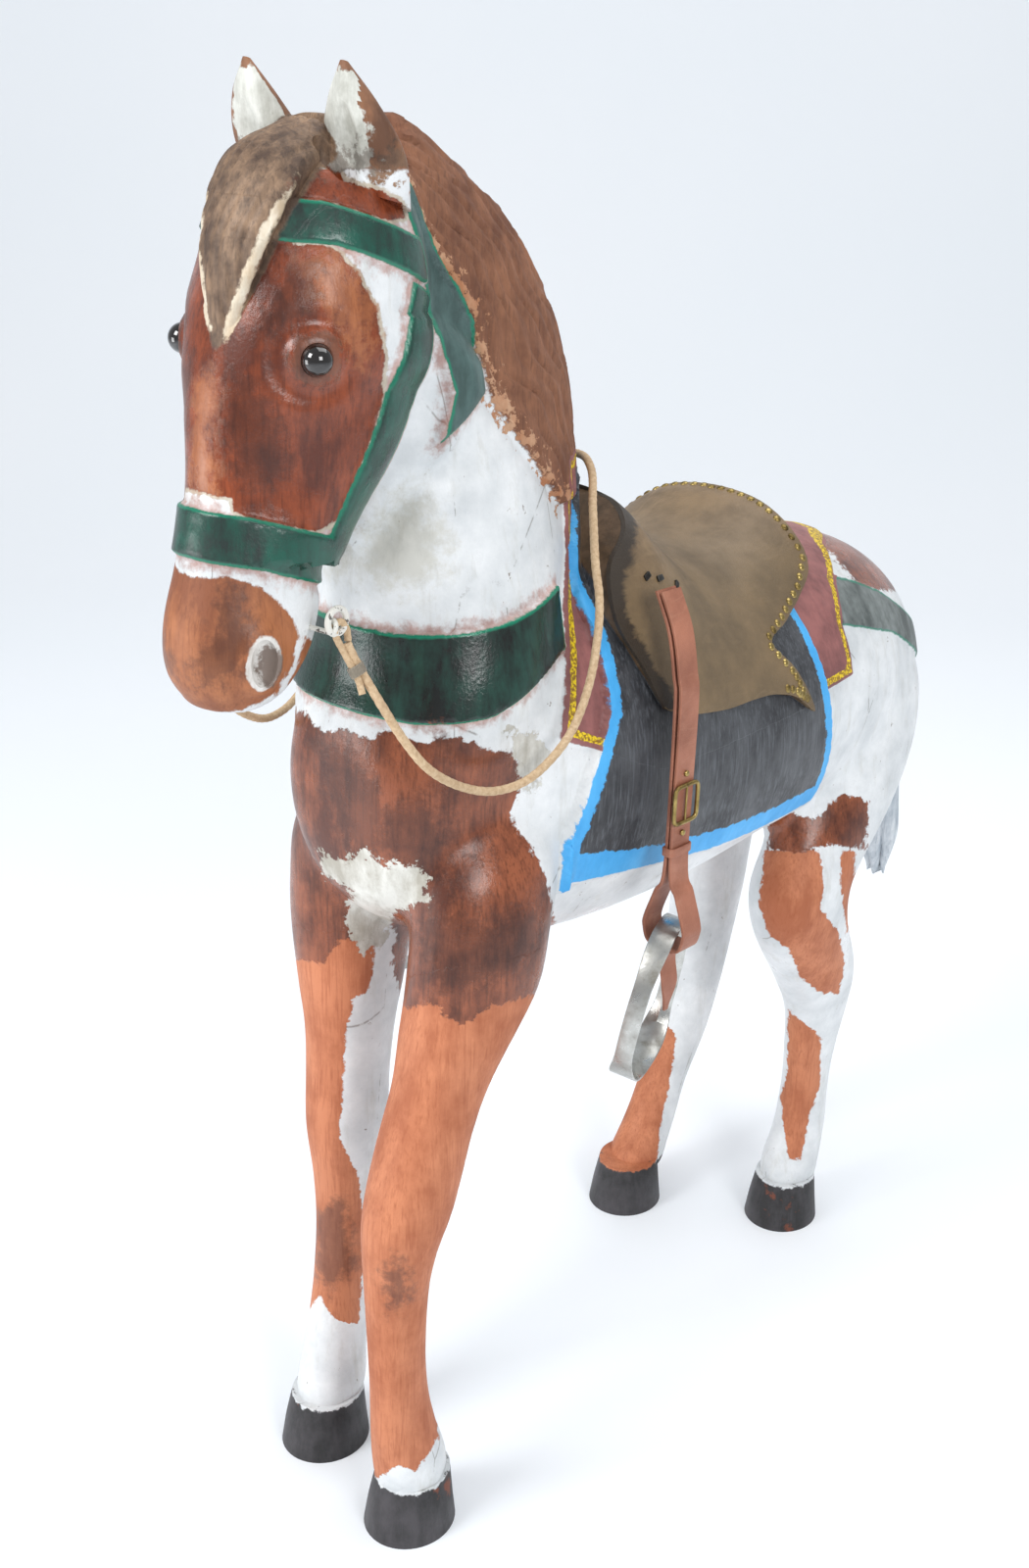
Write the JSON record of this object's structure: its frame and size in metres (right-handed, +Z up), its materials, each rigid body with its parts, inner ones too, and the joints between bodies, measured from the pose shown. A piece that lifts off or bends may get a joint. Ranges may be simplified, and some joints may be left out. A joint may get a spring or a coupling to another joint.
{
  "type": "carousel horse",
  "caption": "Carved wooden carousel horse standing on its hooves, with worn paint, a leather-covered saddle, rope rein and hanging stirrups.",
  "frame": {"origin": "on the ground midway between the tips of the muzzle and tail, in the horse's middle plane", "axes": "+Z up; the horse faces -Y and its left side is at +X"},
  "size_m": [0.4344, 1.3094, 1.415],
  "materials": {
    "painted_wood": "worn oil paint and varnish over carved wood, bare in places",
    "saddle_leather": "worn olive brown leather, edged with brass tacks",
    "eye_glass": "dark polished glass",
    "white_painted_steel": "chipped white paint on steel wire",
    "rope": "twisted cotton rope",
    "cast_aluminium": "scuffed casting",
    "strap_leather": "tan leather, worn along its edges",
    "aged_brass": "tarnished"
  },
  "bodies": {
    "root": {"horse": "painted_wood", "saddle_leather": "saddle_leather", "eye_left": "eye_glass", "eye_right": "eye_glass", "bit_ring_left": "white_painted_steel", "bit_ring_right": "white_painted_steel", "rein": "rope", "rein_eye_left": "rope", "rein_eye_right": "rope", "stirrup_left": "cast_aluminium", "stirrup_right": "cast_aluminium", "stirrup_strap_left": "strap_leather", "stirrup_strap_right": "strap_leather", "stirrup_buckle_left": "aged_brass", "stirrup_buckle_right": "aged_brass"}
  },
  "joints": []
}
